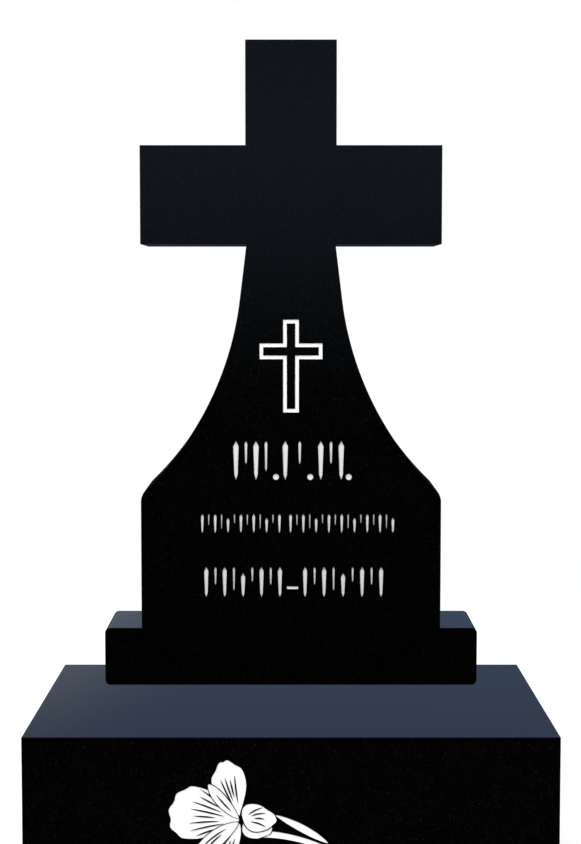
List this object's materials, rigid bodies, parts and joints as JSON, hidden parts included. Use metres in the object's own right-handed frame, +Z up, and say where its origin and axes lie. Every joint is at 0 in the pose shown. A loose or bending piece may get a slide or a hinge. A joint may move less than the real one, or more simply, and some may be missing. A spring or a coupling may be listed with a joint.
{
  "type": "latin cross headstone",
  "caption": "Polished black granite headstone: a tablet with a latin cross head and flared neck on a slim base and a deep plinth, with an engraved cross, rows of strokes and a flower.",
  "frame": {"origin": "middle of the plinth's underside, where the stone meets the ground", "axes": "+Z up, the engraved faces look along -Y, +X to the viewer's right"},
  "size_m": [0.8, 0.511, 1.344],
  "materials": {
    "tablet_granite": "polished",
    "base_granite": "polished",
    "plinth_granite": "polished"
  },
  "bodies": {
    "root": {"cross_tablet": "tablet_granite", "base": "base_granite", "plinth": "plinth_granite"}
  },
  "joints": []
}
